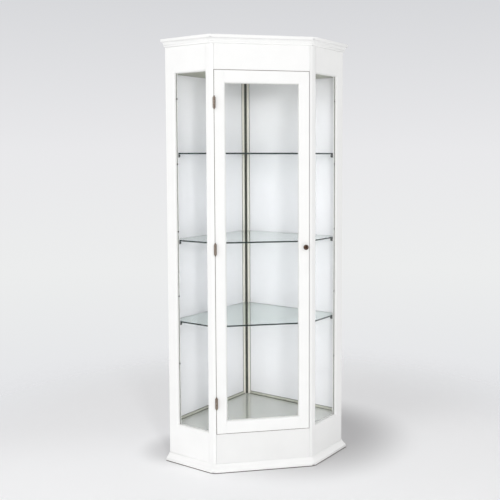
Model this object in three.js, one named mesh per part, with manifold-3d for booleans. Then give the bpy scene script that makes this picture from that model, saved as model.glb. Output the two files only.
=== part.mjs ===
// Corner display cabinet with a glazed door, glazed side returns and three glass shelves.
// Units are millimetres, +Z is up and the front faces -Y. The origin is on the floor, under
// the middle of the cabinet's bounding box.
//
// The plan is a square room corner cut off by the front. Two back panels lie on the walls,
// two side returns stand square to the walls, and the front crosses at 45 degrees to both.
import * as THREE from 'three';
import { mergeVertices } from 'three/addons/utils/BufferGeometryUtils.js';
import Module from 'manifold-3d';

const wasm = await Module();
wasm.setup();

// Overall sizes. FRONT_W and SIDE_W run to the sharp corner that the corner facet cuts off.
const HEIGHT = 1800;
const FRONT_W = 412;
const SIDE_W = 252;
const CORNER_FACET = 12;
const WALL_TURN = Math.PI / 4;

// Clearances.
const FIT = 0.3;
const OVERRUN = 40;
const DOOR_GAP = 2;
const STOP_GAP = 0.5;
const GLASS_EDGE_GAP = 1;

// Frame stock: posts, stiles, rails and door share one thickness and one moulded edge.
const FRAME_T = 20;
const OVOLO_R = 7;
const GROOVE_SETBACK = 2;
const GROOVE_D = 8;
const PANE_T = 4;

// Front posts and side frames.
const POST_LAND = 1.5;
const STOP_W = 8;
const STOP_T = 5;
const FRONT_STILE_W = 35;
const REAR_STILE_W = 51;
const REAR_REBATE = 8;
const SIDE_OPEN_LOW_Z = 162;
const SIDE_HEAD_H = 141;

// Door. It reaches a little past the side openings at both ends.
const DOOR_DROP = 2;
const DOOR_RISE = 3;
const DOOR_STILE_W = 44;
const DOOR_RAIL_H = 52;

// Boards and back.
const TOP_BOARD_T = 16;
const BOARD_T = 18;
const CEILING_RISE = 2;
const PANEL_T = 6;
const PANEL_LOW_Z = 12;
const CORNER_POST_SHOULDER = 12;
const CORNER_POST_W = 20;
const CORNER_POST_INNER_T = 10;
const BEAD_W = 10;
const BEAD_T = 6;
const BEAD_ROUND = 2;

// Floor glass, shelves and what carries them. The shares divide the clear height inside.
const FLOOR_GLASS_T = 4;
const FLOOR_DROP = 1;
const SHELF_T = 6;
const SHELF_CLEAR = 1.5;
const SHELF_HEIGHT_SHARES = [0.298, 0.531, 0.777];
const SPARE_HOLE_SHARES = [0.179, 0.373, 0.557, 0.747, 0.928];
const PIN_STEM_R = 2;
const PIN_STEM_L = 5;
const PIN_COLLAR_R = 6;
const PIN_COLLAR_T = 1.5;
const PIN_PEG_R = 4.8;
const PIN_PEG_L = 14;
const PIN_ROUND = 1;
const FRONT_PIN_INSET = 7;
const REAR_PIN_INSET = 8;
const STANDARD_W = 9;
const STANDARD_T = 2;
const SLOT_W = 3;
const SLOT_H = 12;
const SLOT_PITCH = 32;
const LUG_W = 7;
const LUG_H = 6;
const LUG_REACH = 10;

// Cornice: bed band, cove and fascia. Base moulding: square foot, held off the floor, and ogee.
const BED_H = 7;
const BED_OUT = 8;
const COVE_STEP = 2;
const COVE_R = 13;
const FASCIA_STEP = 3;
const FASCIA_H = 12;
const FOOT_LIFT = 3;
const FOOT_OUT = 24;
const FOOT_H = 8;
const OGEE_H = 21;
const OGEE_STEP = 2;
const OGEE_TOP_OUT = 3;

// Butt hinges with loose pins, and the knob.
const HINGE_INSET = 131;
const HINGE_MIDDLE_RISE = 23;
const BARREL_R = 6;
const BARREL_L = 42;
const BARREL_STAND_OFF = 0.6;
const HINGE_PIN_R = 2;
const LEAF_T = 1.4;
const LEAF_D = 15;
const FINIAL_R = 5;
const FINIAL_NECK_R = 2.8;
const FINIAL_RIM_H = 1.2;
const FINIAL_BULB_R = 3.5;
const FINIAL_H = 7;
const KNOB_HEIGHT_SHARE = 0.517;
const KNOB_INSET = 16;
const KNOB_R = 11;
const KNOB_ROSE_R = 7;
const KNOB_ROSE_T = 2;
const KNOB_NECK_R = 4.5;
const KNOB_NECK_L = 7;
const KNOB_DEPTH_SHARE = 0.75;

// Facet counts.
const ARC_STEPS = 6;
const ROUND_STEPS = 24;
const PIN_STEPS = 16;
const KNUCKLES = 3;

// Places worked out from the sizes above.
const SIN = Math.sin(WALL_TURN);
const COS = Math.cos(WALL_TURN);
const HALF_FRONT = FRONT_W / 2;
const REAR_X = HALF_FRONT + SIDE_W * SIN;
const WALL_L = REAR_X / SIN;
const DEPTH = SIDE_W * COS + WALL_L * COS;
const FASCIA_OUT = BED_OUT + COVE_STEP + COVE_R + FASCIA_STEP;
const PLAN_SHIFT_Y = -(DEPTH - FASCIA_OUT) / 2;
const FACET_CUT = CORNER_FACET / (2 * Math.cos(WALL_TURN / 2));
const REBATE_X = HALF_FRONT - FACET_CUT - POST_LAND;
const REBATE_Y = FRAME_T + STOP_GAP;
const LIP_X = REBATE_X - STOP_W;
const POST_BACK_Y = REBATE_Y + STOP_T;
const DOOR_HALF_W = REBATE_X - DOOR_GAP;
const GROOVE_FRONT = OVOLO_R + GROOVE_SETBACK;
const GROOVE_BACK = GROOVE_FRONT + PANE_T + 2 * FIT;
const REAR_STILE_U = SIDE_W - REAR_STILE_W;
const BODY_TOP_Z = HEIGHT - TOP_BOARD_T;
const SIDE_OPEN_HIGH_Z = HEIGHT - SIDE_HEAD_H;
const DOOR_LOW_Z = SIDE_OPEN_LOW_Z - DOOR_DROP;
const DOOR_HIGH_Z = SIDE_OPEN_HIGH_Z + DOOR_RISE;
const FLOOR_Z = SIDE_OPEN_LOW_Z - FLOOR_DROP;
const CEILING_Z = SIDE_OPEN_HIGH_Z + CEILING_RISE;
const atClearShare = (share) => FLOOR_Z + share * (CEILING_Z - FLOOR_Z);
const SHELF_ZS = SHELF_HEIGHT_SHARES.map(atClearShare);
const SPARE_HOLE_ZS = SPARE_HOLE_SHARES.map(atClearShare);
const CORNER_FLAT_Y = DEPTH - (CORNER_POST_W + CORNER_POST_INNER_T) * COS;
const STANDARD_FRONT_Y = CORNER_FLAT_Y - FIT - STANDARD_T;
const BEAD_A = CORNER_POST_W + FIT;
const BEAD_B = PANEL_T + FIT;
const BEAD_FRONT_Y = DEPTH - (BEAD_A + BEAD_W + BEAD_B + BEAD_T) * COS;
const SHELF_BACK_Y = BEAD_FRONT_Y - SHELF_CLEAR;
const HINGE_X = -(DOOR_HALF_W + DOOR_GAP / 2);
const HINGE_Y = -(BARREL_R + BARREL_STAND_OFF);
const HINGE_ZS = [
  DOOR_LOW_Z + HINGE_INSET,
  (DOOR_LOW_Z + DOOR_HIGH_Z) / 2 + HINGE_MIDDLE_RISE,
  DOOR_HIGH_Z - HINGE_INSET,
];
const KNOB_Z = DOOR_LOW_Z + KNOB_HEIGHT_SHARE * (DOOR_HIGH_Z - DOOR_LOW_Z);

// Materials.
const finish = (color, roughness, metalness = 0, extra = {}) =>
  new THREE.MeshStandardMaterial({ color, roughness, metalness, ...extra });
const paint = finish('#f4f3f1', 0.35);
const panelPaint = finish('#eef0f0', 0.3);
const beadPaint = finish('#e9e8dd', 0.45);
const clearGlass = finish('#e4efec', 0.05, 0, { transparent: true, opacity: 0.25 });
const shelfGlass = finish('#9fb5ae', 0.05, 0, { transparent: true, opacity: 0.4 });
const darkSteel = finish('#3b3c36', 0.45, 0.8);
const bronze = finish('#6b5b50', 0.4, 0.85);
const knobBronze = finish('#3c2b24', 0.35, 0.8);

const cabinet = new THREE.Group();
cabinet.name = 'corner_cabinet';
cabinet.position.y = PLAN_SHIFT_Y;

function add(name, geometry, material) {
  const mesh = new THREE.Mesh(geometry, material);
  mesh.name = name;
  cabinet.add(mesh);
  return mesh;
}

// Geometry helpers.
function signedVolume(geometry) {
  const flat = geometry.index ? geometry.toNonIndexed() : geometry;
  const position = flat.attributes.position;
  const [a, b, c] = [new THREE.Vector3(), new THREE.Vector3(), new THREE.Vector3()];
  let volume = 0;
  for (let i = 0; i < position.count; i += 3) {
    a.fromBufferAttribute(position, i);
    b.fromBufferAttribute(position, i + 1);
    c.fromBufferAttribute(position, i + 2);
    volume += a.dot(b.cross(c));
  }
  return volume;
}

// Merges the vertices and turns the faces outwards.
function closed(geometry) {
  const bare = geometry.clone();
  bare.deleteAttribute('normal');
  bare.deleteAttribute('uv');
  const merged = mergeVertices(bare);
  if (signedVolume(merged) < 0) {
    const index = merged.index.array;
    for (let i = 0; i < index.length; i += 3) {
      [index[i], index[i + 1]] = [index[i + 1], index[i]];
    }
  }
  return merged;
}

function mirrored(geometry) {
  return closed(geometry.clone().scale(-1, 1, 1));
}

function toSolid(geometry) {
  const merged = closed(geometry);
  return new wasm.Manifold(new wasm.Mesh({
    numProp: 3,
    vertProperties: Float32Array.from(merged.attributes.position.array),
    triVerts: Uint32Array.from(merged.index.array),
  }));
}

function fromSolid(solid) {
  const mesh = solid.getMesh();
  const geometry = new THREE.BufferGeometry();
  geometry.setAttribute('position', new THREE.BufferAttribute(mesh.vertProperties, mesh.numProp));
  geometry.setIndex(new THREE.BufferAttribute(mesh.triVerts, 1));
  return geometry;
}

function cut(geometry, cutters) {
  return fromSolid(cutters.reduce((solid, cutter) => solid.subtract(toSolid(cutter)), toSolid(geometry)));
}

function join(geometries) {
  return fromSolid(geometries.slice(1).reduce((solid, part) => solid.add(toSolid(part)), toSolid(geometries[0])));
}

// An upright prism from a plan outline.
function prism(points, lowZ, highZ) {
  const shape = new THREE.Shape(points);
  const geometry = new THREE.ExtrudeGeometry(shape, { depth: highZ - lowZ, bevelEnabled: false });
  return geometry.translate(0, 0, lowZ);
}

function block(lowX, highX, lowY, highY, lowZ, highZ) {
  const geometry = new THREE.BoxGeometry(highX - lowX, highY - lowY, highZ - lowZ);
  return geometry.translate((lowX + highX) / 2, (lowY + highY) / 2, (lowZ + highZ) / 2);
}

function lathe(profile, steps) {
  const points = profile.map(([radius, height]) => new THREE.Vector2(radius, height));
  return new THREE.LatheGeometry(points, steps).rotateX(Math.PI / 2);
}

function rod(radius, lowZ, highZ, steps) {
  return lathe([[0, lowZ], [radius, lowZ], [radius, highZ], [0, highZ]], steps);
}

// A point of the right-hand side frame: u runs back along the side, v runs inwards.
function sidePoint(u, v) {
  return new THREE.Vector2(HALF_FRONT + u * SIN - v * COS, u * COS + v * SIN);
}

// A point of the right-hand wall: a runs out from the room corner, b runs inwards.
function wallPoint(a, b) {
  return sidePoint(SIDE_W - b, WALL_L - a);
}

function mirrorPoints(points) {
  return points.map((point) => new THREE.Vector2(-point.x, point.y)).reverse();
}

// Profile of a moulded, grooved edge at place e, which faces along sign s, from front to back.
// growth swells the member by a clearance, for coping its neighbour.
function edgeProfile(e, s, growth = 0) {
  const points = [];
  for (let i = 0; i <= ARC_STEPS; i += 1) {
    const angle = (i / ARC_STEPS) * (Math.PI / 2);
    points.push([
      e - s * OVOLO_R + s * (OVOLO_R + growth) * Math.sin(angle),
      OVOLO_R - (OVOLO_R + growth) * Math.cos(angle),
    ]);
  }
  const face = e + s * growth;
  const bottom = e - s * (GROOVE_D - growth);
  points.push([face, GROOVE_FRONT + growth], [bottom, GROOVE_FRONT + growth]);
  points.push([bottom, GROOVE_BACK - growth], [face, GROOVE_BACK - growth]);
  points.push([face, FRAME_T + growth]);
  return points;
}

// The swollen outline of a member with one moulded edge, which copes the rails that meet it.
function copeOutline(e, s) {
  const far = e - s * (OVERRUN + OVOLO_R);
  return [[far, -FIT], ...edgeProfile(e, s, FIT), [far, FRAME_T + FIT]];
}

// A rail from its section in (v, z), run along u from one cope to the other.
function railGeometry(section, fromU, toU, frame) {
  const shape = new THREE.Shape(section.map(([v, z]) => new THREE.Vector2(v, z)));
  const reach = Math.max(OVOLO_R, GROOVE_D);
  const length = toU - fromU + 2 * reach;
  const geometry = new THREE.ExtrudeGeometry(shape, { depth: length, bevelEnabled: false });
  geometry.translate(0, 0, fromU - reach);
  return geometry.applyMatrix4(frame);
}

// A moulding swept along a plan path whose outer side is on its left, with mitred corners.
function moulding(profile, path) {
  const normals = path.slice(1).map((point, i) => {
    const along = point.clone().sub(path[i]).normalize();
    return new THREE.Vector2(-along.y, along.x);
  });
  const rings = path.map((point, i) => {
    const before = normals[Math.max(i - 1, 0)];
    const after = normals[Math.min(i, normals.length - 1)];
    const mitre = before.clone().add(after).divideScalar(1 + before.dot(after));
    return profile.map(([out, z]) => [point.x + mitre.x * out, point.y + mitre.y * out, z]);
  });
  const size = profile.length;
  const caps = THREE.ShapeUtils.triangulateShape(profile.map(([out, z]) => new THREE.Vector2(out, z)), []);
  const index = [];
  for (let i = 0; i + 1 < rings.length; i += 1) {
    for (let j = 0; j < size; j += 1) {
      const next = (j + 1) % size;
      const corners = [i * size + j, i * size + next, (i + 1) * size + next, (i + 1) * size + j];
      index.push(corners[0], corners[1], corners[2], corners[0], corners[2], corners[3]);
    }
  }
  // The caps wind the way that closes the side strips.
  const clockwise = THREE.ShapeUtils.isClockWise(profile.map(([out, z]) => new THREE.Vector2(out, z)));
  const last = (rings.length - 1) * size;
  for (const [a, b, c] of caps) {
    const start = clockwise ? [a, b, c] : [a, c, b];
    index.push(...start);
    index.push(...start.slice().reverse().map((corner) => corner + last));
  }
  const geometry = new THREE.BufferGeometry();
  geometry.setAttribute('position', new THREE.Float32BufferAttribute(rings.flat(2), 3));
  geometry.setIndex(index);
  return closed(geometry);
}

// Places of the outer plan on the right: rear corner, side end of the facet, front end of it.
const rearCorner = sidePoint(SIDE_W, 0);
const facetRear = sidePoint(FACET_CUT, 0);
const facetFront = new THREE.Vector2(HALF_FRONT - FACET_CUT, 0);

// Plan outlines inside the cabinet, held clear of posts, side frames and back panels.
function innerOutline(clear, backY, wallGap, betweenLips) {
  const frontY = POST_BACK_Y + clear;
  const inward = FRAME_T + clear;
  const frontU = (frontY - inward * SIN) / COS;
  const right = [sidePoint(frontU, inward), sidePoint(SIDE_W - wallGap, inward)];
  right.push(new THREE.Vector2((DEPTH - backY) * SIN / COS - wallGap / COS, backY));
  if (betweenLips) {
    const lip = LIP_X - clear;
    right.unshift(new THREE.Vector2(lip, FRAME_T + FIT), new THREE.Vector2(lip, frontY));
  }
  return [...right, ...mirrorPoints(right)];
}

// Holes for the shelf pins, in the inner face of a side frame's member.
function pinHoles(u) {
  return [...SHELF_ZS.map(pinHeight), ...SPARE_HOLE_ZS].map((z) => {
    const hole = rod(PIN_STEM_R + FIT, -PIN_STEM_L - FIT, OVERRUN, PIN_STEPS);
    return placedOnSide(hole, u, z);
  });
}

function pinHeight(shelfZ) {
  return shelfZ - SHELF_T / 2 - FIT - PIN_PEG_R;
}

function inwardTurn(sign) {
  const up = new THREE.Vector3(0, 0, 1);
  return new THREE.Quaternion().setFromUnitVectors(up, new THREE.Vector3(-sign * COS, SIN, 0));
}

function placedOnSide(geometry, u, z) {
  const foot = sidePoint(u, FRAME_T);
  const matrix = new THREE.Matrix4().compose(
    new THREE.Vector3(foot.x, foot.y, z), inwardTurn(1), new THREE.Vector3(1, 1, 1));
  return geometry.applyMatrix4(matrix);
}

// Front posts: rebated for the door, moulded and grooved for the side pane.
function frontPost() {
  const edge = edgeProfile(FRONT_STILE_W, 1).map(([u, v]) => sidePoint(u, v)).reverse();
  const stopU = (POST_BACK_Y - FRAME_T * SIN) / COS;
  const outline = [
    facetFront,
    new THREE.Vector2(REBATE_X, 0),
    new THREE.Vector2(REBATE_X, REBATE_Y),
    new THREE.Vector2(LIP_X, REBATE_Y),
    new THREE.Vector2(LIP_X, POST_BACK_Y),
    sidePoint(stopU, FRAME_T),
    ...edge,
    facetRear,
  ];
  return cut(prism(outline, 0, BODY_TOP_Z), pinHoles(FRONT_STILE_W - FRONT_PIN_INSET));
}

// Rear stiles: moulded and grooved in front, rebated behind for the back panel.
function rearStile() {
  const edge = edgeProfile(REAR_STILE_U, -1).map(([u, v]) => sidePoint(u, v));
  const outline = [
    ...edge,
    sidePoint(SIDE_W - PANEL_T - FIT, FRAME_T),
    sidePoint(SIDE_W - PANEL_T - FIT, REAR_REBATE),
    sidePoint(SIDE_W, REAR_REBATE),
    sidePoint(SIDE_W, 0),
  ];
  return cut(prism(outline, 0, BODY_TOP_Z), pinHoles(REAR_STILE_U + REAR_PIN_INSET));
}

// Side rails: coped over the mouldings of the post and the stile, with stub tenons in the grooves.
const sideFrame = new THREE.Matrix4().makeBasis(
  new THREE.Vector3(-COS, SIN, 0), new THREE.Vector3(0, 0, 1), new THREE.Vector3(SIN, COS, 0))
  .setPosition(HALF_FRONT, 0, 0);

function sideRail(edgeZ, farZ) {
  const sign = Math.sign(edgeZ - farZ);
  const section = [[0, farZ], ...edgeProfile(edgeZ, sign).map(([z, v]) => [v, z]), [FRAME_T, farZ]];
  const copes = [copeOutline(FRONT_STILE_W, 1), copeOutline(REAR_STILE_U, -1)].map((outline) =>
    prism(outline.map(([u, v]) => sidePoint(u, v)), -OVERRUN, HEIGHT));
  return cut(railGeometry(section, FRONT_STILE_W, REAR_STILE_U, sideFrame), copes);
}

// A pane held in the grooves of a side frame.
function sidePane() {
  const reach = GROOVE_D - GLASS_EDGE_GAP;
  const [front, back] = [GROOVE_FRONT + FIT, GROOVE_BACK - FIT];
  const outline = [
    sidePoint(FRONT_STILE_W - reach, front),
    sidePoint(REAR_STILE_U + reach, front),
    sidePoint(REAR_STILE_U + reach, back),
    sidePoint(FRONT_STILE_W - reach, back),
  ];
  return prism(outline, SIDE_OPEN_LOW_Z - reach, SIDE_OPEN_HIGH_Z + reach);
}

function backPanel() {
  const nearCorner = CORNER_POST_SHOULDER + FIT;
  const nearStile = WALL_L - REAR_REBATE - FIT;
  const outline = [
    wallPoint(nearCorner, 0),
    wallPoint(nearCorner, PANEL_T),
    wallPoint(nearStile, PANEL_T),
    wallPoint(nearStile, 0),
  ];
  return prism(outline, PANEL_LOW_Z, BODY_TOP_Z);
}

// Beads that cover the panel's edges: one upright at the room corner, one along the floor.
function cornerBead() {
  const outline = [
    wallPoint(BEAD_A, BEAD_B),
    wallPoint(BEAD_A, BEAD_B + BEAD_T),
    wallPoint(BEAD_A + BEAD_W - BEAD_ROUND, BEAD_B + BEAD_T),
    wallPoint(BEAD_A + BEAD_W, BEAD_B + BEAD_T - BEAD_ROUND),
    wallPoint(BEAD_A + BEAD_W, BEAD_B),
  ];
  return prism(outline, FLOOR_Z + FIT, CEILING_Z - FIT);
}

function footBead() {
  const profile = [
    [0, FLOOR_Z + FIT],
    [BEAD_T, FLOOR_Z + FIT],
    [BEAD_T, FLOOR_Z + FIT + BEAD_W - BEAD_ROUND],
    [BEAD_T - BEAD_ROUND, FLOOR_Z + FIT + BEAD_W],
    [0, FLOOR_Z + FIT + BEAD_W],
  ];
  const path = [
    wallPoint(WALL_L - FRAME_T - FIT, BEAD_B),
    wallPoint(BEAD_A + BEAD_W + FIT, BEAD_B),
  ];
  return moulding(profile, path);
}

// The right-hand pieces, each with its mirror image on the left.
for (const [name, geometry, material] of [
  ['rear_stile', rearStile(), paint],
  ['side_top_rail', sideRail(SIDE_OPEN_HIGH_Z, BODY_TOP_Z), paint],
  ['side_bottom_rail', sideRail(SIDE_OPEN_LOW_Z, 0), paint],
  ['side_glass', sidePane(), clearGlass],
  ['back_panel', backPanel(), panelPaint],
  ['back_corner_bead', cornerBead(), beadPaint],
  ['back_foot_bead', footBead(), beadPaint],
]) {
  add(`${name}_right`, closed(geometry), material);
  add(`${name}_left`, mirrored(geometry), material);
}

// The left post carries the hinges, so it is let in for their leaves.
const hingeHalf = BARREL_L / 2 + FIT;
const leafPockets = HINGE_ZS.map((z) => [z - hingeHalf, z + hingeHalf]);
const postPockets = leafPockets.map(([low, high]) =>
  block(-REBATE_X - LEAF_T - FIT, -REBATE_X + FIT, -OVERRUN, LEAF_D + FIT, low, high));
const doorPockets = leafPockets.map(([low, high]) =>
  block(-DOOR_HALF_W - FIT, -DOOR_HALF_W + LEAF_T + FIT, -OVERRUN, LEAF_D + FIT, low, high));
add('front_post_right', closed(frontPost()), paint);
add('front_post_left', cut(mirrored(frontPost()), postPockets), paint);

// Front boards, floor, ceiling and top.
const boardHalf = REBATE_X - FIT;
add('front_plinth', block(-boardHalf, boardHalf, 0, FRAME_T, 0, DOOR_LOW_Z - DOOR_GAP), paint);
add('front_frieze', block(-boardHalf, boardHalf, 0, FRAME_T, DOOR_HIGH_Z + DOOR_GAP, BODY_TOP_Z), paint);
const boardOutline = innerOutline(FIT, CORNER_FLAT_Y - FIT, PANEL_T + FIT, true);
const floorBoardTop = FLOOR_Z - FLOOR_GLASS_T;
add('floor_board', prism(boardOutline, floorBoardTop - BOARD_T, floorBoardTop), paint);
add('ceiling_board', prism(boardOutline, CEILING_Z, CEILING_Z + BOARD_T), paint);
const glassOutline = innerOutline(FIT, CORNER_FLAT_Y - FIT, PANEL_T + FIT, false);
add('floor_glass', prism(glassOutline, floorBoardTop, FLOOR_Z), shelfGlass);
const topRight = [facetFront, facetRear, rearCorner];
const topOutline = [...topRight, new THREE.Vector2(0, DEPTH), ...mirrorPoints(topRight)];
add('top_board', prism(topOutline, BODY_TOP_Z, HEIGHT), paint);

// The corner post and the slotted standard that carries the back of each shelf.
const postRight = [
  wallPoint(CORNER_POST_SHOULDER, 0),
  wallPoint(CORNER_POST_SHOULDER, PANEL_T + FIT),
  wallPoint(CORNER_POST_W, PANEL_T + FIT),
  wallPoint(CORNER_POST_W, CORNER_POST_INNER_T),
];
const postOutline = [new THREE.Vector2(0, DEPTH), ...postRight, ...mirrorPoints(postRight)];
add('back_corner_post', prism(postOutline, 0, BODY_TOP_Z), paint);

function cornerStandard() {
  const [low, high] = [FLOOR_Z + FIT, CEILING_Z - FIT];
  const half = STANDARD_W / 2;
  const strip = block(-half, half, STANDARD_FRONT_Y, CORNER_FLAT_Y - FIT, low, high);
  const slots = [];
  for (let z = low + SLOT_PITCH; z + SLOT_PITCH < high; z += SLOT_PITCH) {
    slots.push(block(-SLOT_W / 2, SLOT_W / 2, STANDARD_FRONT_Y - FIT, CORNER_FLAT_Y, z, z + SLOT_H));
  }
  const lugFront = SHELF_BACK_Y - LUG_REACH;
  const lugs = SHELF_ZS.map((z) => {
    const top = z - SHELF_T / 2 - FIT;
    return block(-LUG_W / 2, LUG_W / 2, lugFront, CORNER_FLAT_Y - FIT, top - LUG_H, top);
  });
  return join([cut(strip, slots), ...lugs]);
}
add('corner_standard', cornerStandard(), darkSteel);

// Shelves and their pins.
const shelfOutline = innerOutline(SHELF_CLEAR, SHELF_BACK_Y, PANEL_T + SHELF_CLEAR, false);
const pegEnd = PIN_COLLAR_T + PIN_PEG_L;
const pinProfile = [
  [0, -PIN_STEM_L],
  [PIN_STEM_R, -PIN_STEM_L],
  [PIN_STEM_R, FIT],
  [PIN_COLLAR_R, FIT],
  [PIN_COLLAR_R, PIN_COLLAR_T],
  [PIN_PEG_R, PIN_COLLAR_T],
  [PIN_PEG_R, pegEnd - PIN_ROUND],
  [PIN_PEG_R - PIN_ROUND, pegEnd],
  [0, pegEnd],
];
SHELF_ZS.forEach((z, i) => {
  add(`shelf_${i + 1}`, prism(shelfOutline, z - SHELF_T / 2, z + SHELF_T / 2), shelfGlass);
  for (const [place, u] of [['front', FRONT_STILE_W - FRONT_PIN_INSET], ['rear', REAR_STILE_U + REAR_PIN_INSET]]) {
    for (const [side, sign] of [['left', -1], ['right', 1]]) {
      const pin = add(`shelf_pin_${i + 1}_${place}_${side}`, closed(lathe(pinProfile, PIN_STEPS)), darkSteel);
      const foot = sidePoint(u, FRAME_T);
      pin.position.set(sign * foot.x, foot.y, pinHeight(z));
      pin.quaternion.copy(inwardTurn(sign));
    }
  }
});

// Cornice and base moulding: one run along each side and one round the front and its facets.
const corniceLow = HEIGHT - FASCIA_H - COVE_R - BED_H;
const coveLow = corniceLow + BED_H;
const corniceProfile = [[FIT, corniceLow], [BED_OUT, corniceLow], [BED_OUT, coveLow]];
for (let i = 0; i <= ARC_STEPS; i += 1) {
  const angle = (i / ARC_STEPS) * (Math.PI / 2);
  const out = BED_OUT + COVE_STEP + COVE_R * (1 - Math.cos(angle));
  corniceProfile.push([out, coveLow + COVE_R * Math.sin(angle)]);
}
corniceProfile.push([FASCIA_OUT, HEIGHT - FASCIA_H], [FASCIA_OUT, HEIGHT], [FIT, HEIGHT]);

const footTop = FOOT_LIFT + FOOT_H;
const baseProfile = [[FIT, FOOT_LIFT], [FOOT_OUT, FOOT_LIFT], [FOOT_OUT, footTop]];
for (let i = 0; i <= 2 * ARC_STEPS; i += 1) {
  const share = i / (2 * ARC_STEPS);
  const swing = (1 + Math.cos(share * Math.PI)) / 2;
  const out = OGEE_TOP_OUT + (FOOT_OUT - OGEE_STEP - OGEE_TOP_OUT) * swing;
  baseProfile.push([out, footTop + OGEE_H * share]);
}
baseProfile.push([FIT, footTop + OGEE_H]);

const frontPath = [facetRear, facetFront, ...mirrorPoints([facetRear, facetFront])];
const jointEnd = sidePoint(FACET_CUT + FIT, 0);
for (const [name, profile] of [['cornice', corniceProfile], ['base_moulding', baseProfile]]) {
  add(`${name}_front`, mitredFront(profile), paint);
  const side = mitredSide(profile);
  add(`${name}_right`, side, paint);
  add(`${name}_left`, mirrored(side), paint);
}

// The runs are swept through the mitre and trimmed there, so both ends of a joint match.
function mitredFront(profile) {
  const lead = sidePoint(OVERRUN, 0);
  const path = [lead, ...frontPath, ...mirrorPoints([lead])];
  const whole = moulding(profile, path);
  return cut(whole, [mitreCutter(facetRear, 1), mirrored(mitreCutter(facetRear, 1))]);
}

function mitredSide(profile) {
  const path = [rearCorner, facetRear, facetFront];
  return cut(moulding(profile, path), [mitreCutter(jointEnd, -1)]);
}

// A block on one side of the mitre plane through a point: 1 is the side return, -1 the front.
function mitreCutter(point, sign) {
  const turn = WALL_TURN / 4;
  const along = new THREE.Vector2(Math.sin(WALL_TURN + turn), Math.cos(WALL_TURN + turn)).multiplyScalar(sign);
  const across = new THREE.Vector2(along.y, -along.x);
  const reach = SIDE_W * 2;
  const inner = point.clone().addScaledVector(across, -reach);
  const outer = point.clone().addScaledVector(across, reach);
  const outline = [inner, outer, outer.clone().addScaledVector(along, reach), inner.clone().addScaledVector(along, reach)];
  return prism(outline, -OVERRUN, HEIGHT + OVERRUN);
}

// The door: two stiles, two coped rails and a pane in their grooves.
const doorEdgeX = DOOR_HALF_W - DOOR_STILE_W;

function doorStile() {
  const edge = edgeProfile(doorEdgeX, -1).map(([x, y]) => new THREE.Vector2(x, y));
  const outline = [...edge, new THREE.Vector2(DOOR_HALF_W, FRAME_T), new THREE.Vector2(DOOR_HALF_W, 0)];
  return prism(outline, DOOR_LOW_Z, DOOR_HIGH_Z);
}

const doorFrame = new THREE.Matrix4().makeBasis(
  new THREE.Vector3(0, 1, 0), new THREE.Vector3(0, 0, 1), new THREE.Vector3(1, 0, 0));

function doorRail(edgeZ, farZ) {
  const sign = Math.sign(edgeZ - farZ);
  const section = [[0, farZ], ...edgeProfile(edgeZ, sign).map(([z, v]) => [v, z]), [FRAME_T, farZ]];
  const copes = [copeOutline(-doorEdgeX, 1), copeOutline(doorEdgeX, -1)].map((outline) =>
    prism(outline.map(([x, y]) => new THREE.Vector2(x, y)), -OVERRUN, HEIGHT));
  return cut(railGeometry(section, -doorEdgeX, doorEdgeX, doorFrame), copes);
}

add('door_stile_right', closed(doorStile()), paint);
add('door_stile_left', cut(mirrored(doorStile()), doorPockets), paint);
add('door_rail_top', doorRail(DOOR_HIGH_Z - DOOR_RAIL_H, DOOR_HIGH_Z), paint);
add('door_rail_bottom', doorRail(DOOR_LOW_Z + DOOR_RAIL_H, DOOR_LOW_Z), paint);
const paneReach = GROOVE_D - GLASS_EDGE_GAP;
add('door_glass', block(
  -doorEdgeX - paneReach, doorEdgeX + paneReach, GROOVE_FRONT + FIT, GROOVE_BACK - FIT,
  DOOR_LOW_Z + DOOR_RAIL_H - paneReach, DOOR_HIGH_Z - DOOR_RAIL_H + paneReach), clearGlass);

// Butt hinges: two leaves with knuckles in turn round a loose pin with turned finials.
const knuckleL = BARREL_L / KNUCKLES;

function knuckle(i, radius, growth) {
  const low = -BARREL_L / 2 + i * knuckleL;
  return rod(radius + growth, low + FIT / 2 - growth, low + knuckleL - FIT / 2 + growth, ROUND_STEPS);
}

function hingeLeaf(sign, own, other) {
  const near = DOOR_GAP / 2;
  const [lowX, highX] = sign < 0 ? [-near - LEAF_T, -near] : [near, near + LEAF_T];
  const plate = block(lowX, highX, 0, LEAF_D - HINGE_Y, -BARREL_L / 2, BARREL_L / 2);
  const rounds = own.map((i) => knuckle(i, BARREL_R, 0));
  const clear = other.map((i) => knuckle(i, BARREL_R, FIT));
  const bore = rod(HINGE_PIN_R + FIT, -BARREL_L, BARREL_L, ROUND_STEPS);
  return cut(join([plate, ...rounds]), [...clear, bore]);
}

function hingePin() {
  const half = BARREL_L / 2 + FIT;
  const tip = half + FINIAL_H;
  const waist = half + FINIAL_RIM_H;
  const bulb = (waist + tip) / 2;
  const upper = [
    [HINGE_PIN_R, half],
    [FINIAL_R, half],
    [FINIAL_R, half + FINIAL_RIM_H],
    [FINIAL_NECK_R, waist + (bulb - waist) / 2],
    [FINIAL_BULB_R, bulb],
    [FINIAL_NECK_R / 2, (bulb + tip) / 2],
    [0, tip],
  ];
  const lower = upper.map(([radius, z]) => [radius, -z]).reverse();
  return lathe([...lower, ...upper], ROUND_STEPS);
}

HINGE_ZS.forEach((z, i) => {
  const place = ['bottom', 'middle', 'top'][i];
  for (const [name, geometry] of [
    [`hinge_${place}_post_leaf`, hingeLeaf(-1, [0, 2], [1])],
    [`hinge_${place}_door_leaf`, hingeLeaf(1, [1], [0, 2])],
    [`hinge_${place}_pin`, closed(hingePin())],
  ]) {
    add(name, geometry, bronze).position.set(HINGE_X, HINGE_Y, z);
  }
});

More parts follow.
